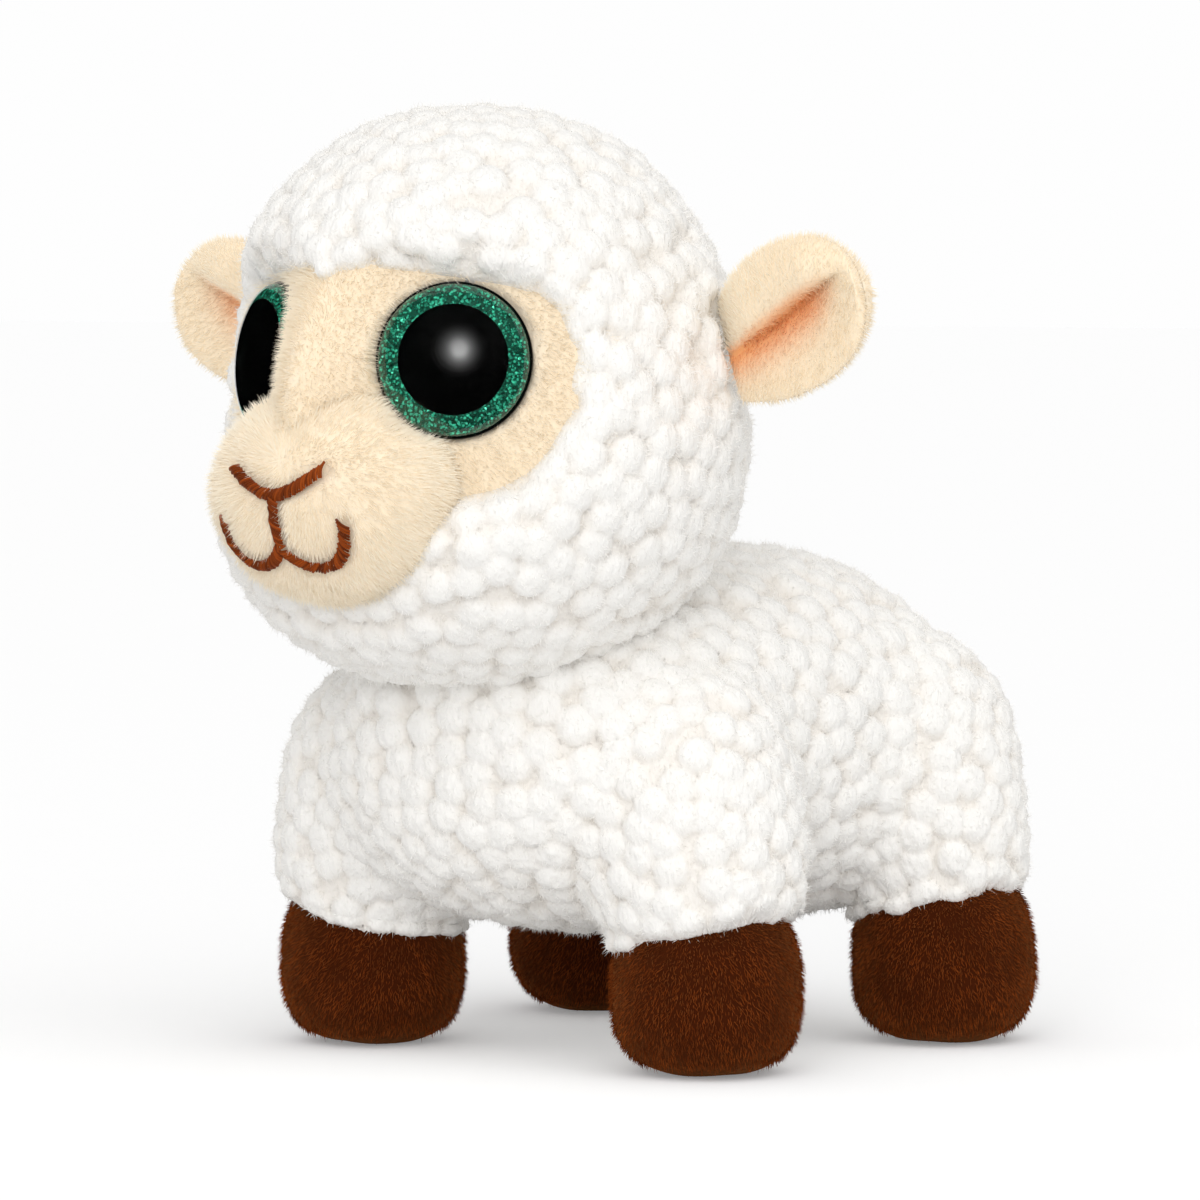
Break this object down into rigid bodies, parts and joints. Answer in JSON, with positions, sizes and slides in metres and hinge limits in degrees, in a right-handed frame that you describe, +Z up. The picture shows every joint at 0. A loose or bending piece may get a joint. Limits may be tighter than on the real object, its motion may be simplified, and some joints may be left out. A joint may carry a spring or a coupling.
{
  "type": "plush sheep",
  "caption": "Small stuffed sheep standing on its legs, with a fleece body, plush face and ears, domed glitter eyes and brown plush hooves.",
  "frame": {"origin": "on the floor, midway between the front of the muzzle and the back of the tail", "axes": "+Z up, the sheep faces -Y, its left side at +X"},
  "size_m": [0.1412, 0.1448, 0.15],
  "materials": {
    "white_fleece": "matte",
    "peach_plush": "matte",
    "apricot_plush": "matte",
    "brown_plush": "matte",
    "stuffing": "matte",
    "pellets": "satin",
    "thread": "matte",
    "clear_plastic": "gloss",
    "green_glitter": "gloss",
    "black_plastic": "gloss",
    "white_plastic": "satin"
  },
  "bodies": {
    "body": {"body_cover": "white_fleece", "body_stuffing": "stuffing", "pellet_pouch": "pellets"},
    "neck": {"neck_stuffing": "stuffing"},
    "head": {"head_cover": "white_fleece", "head_stuffing": "stuffing", "face_panel": "peach_plush", "muzzle_cover": "peach_plush", "muzzle_stuffing": "stuffing", "nose_stitching": "thread", "lip_stitching": "thread", "mouth_stitching": "thread", "left_eye_back": "black_plastic", "left_eye_glitter_ring": "green_glitter", "left_eye_pupil": "black_plastic", "left_eye_dome": "clear_plastic", "left_eye_lock_washer": "white_plastic", "right_eye_back": "black_plastic", "right_eye_glitter_ring": "green_glitter", "right_eye_pupil": "black_plastic", "right_eye_dome": "clear_plastic", "right_eye_lock_washer": "white_plastic"},
    "left_ear": {"left_ear_front": "apricot_plush", "left_ear_back": "peach_plush"},
    "right_ear": {"right_ear_front": "apricot_plush", "right_ear_back": "peach_plush"},
    "front_left_leg": {"front_left_leg_cover": "white_fleece", "front_left_leg_hoof": "brown_plush", "front_left_leg_stuffing": "stuffing"},
    "front_right_leg": {"front_right_leg_cover": "white_fleece", "front_right_leg_hoof": "brown_plush", "front_right_leg_stuffing": "stuffing"},
    "rear_left_leg": {"rear_left_leg_cover": "white_fleece", "rear_left_leg_hoof": "brown_plush", "rear_left_leg_stuffing": "stuffing"},
    "rear_right_leg": {"rear_right_leg_cover": "white_fleece", "rear_right_leg_hoof": "brown_plush", "rear_right_leg_stuffing": "stuffing"},
    "tail": {"tail": "white_fleece"}
  },
  "joints": [
    {"name": "head_nod", "type": "hinge", "parent": "body", "child": "neck", "pos_m": [0, -0.00265, 0.06752], "axis": [1, 0, 0], "range_deg": [-8, 8], "stiffness_Nm_per_rad": 0.8},
    {"name": "head_turn", "type": "hinge", "parent": "neck", "child": "head", "pos_m": [0, -0.00265, 0.06752], "axis": [0, -0.4792, 0.8777], "range_deg": [-15, 15], "stiffness_Nm_per_rad": 0.4},
    {"name": "left_ear_flap", "type": "hinge", "parent": "head", "child": "left_ear", "pos_m": [0.03967, -0.01136, 0.112], "axis": [0, 0, 1], "range_deg": [-30, 30], "stiffness_Nm_per_rad": 0.004},
    {"name": "right_ear_flap", "type": "hinge", "parent": "head", "child": "right_ear", "pos_m": [-0.03967, -0.01136, 0.112], "axis": [0, 0, 1], "range_deg": [-30, 30], "stiffness_Nm_per_rad": 0.004},
    {"name": "front_left_leg_swing", "type": "hinge", "parent": "body", "child": "front_left_leg", "pos_m": [0.03292, -0.00935, 0.034], "axis": [1, 0, 0], "range_deg": [-12, 12], "stiffness_Nm_per_rad": 0.25},
    {"name": "front_right_leg_swing", "type": "hinge", "parent": "body", "child": "front_right_leg", "pos_m": [-0.03292, -0.00935, 0.034], "axis": [1, 0, 0], "range_deg": [-12, 12], "stiffness_Nm_per_rad": 0.25},
    {"name": "rear_left_leg_swing", "type": "hinge", "parent": "body", "child": "rear_left_leg", "pos_m": [0.03472, 0.05015, 0.034], "axis": [1, 0, 0], "range_deg": [-12, 12], "stiffness_Nm_per_rad": 0.25},
    {"name": "rear_right_leg_swing", "type": "hinge", "parent": "body", "child": "rear_right_leg", "pos_m": [-0.03472, 0.05015, 0.034], "axis": [1, 0, 0], "range_deg": [-12, 12], "stiffness_Nm_per_rad": 0.25},
    {"name": "tail_lift", "type": "hinge", "parent": "body", "child": "tail", "pos_m": [0, 0.06845, 0.06], "axis": [1, 0, 0], "range_deg": [0, 40], "stiffness_Nm_per_rad": 0.001}
  ]
}
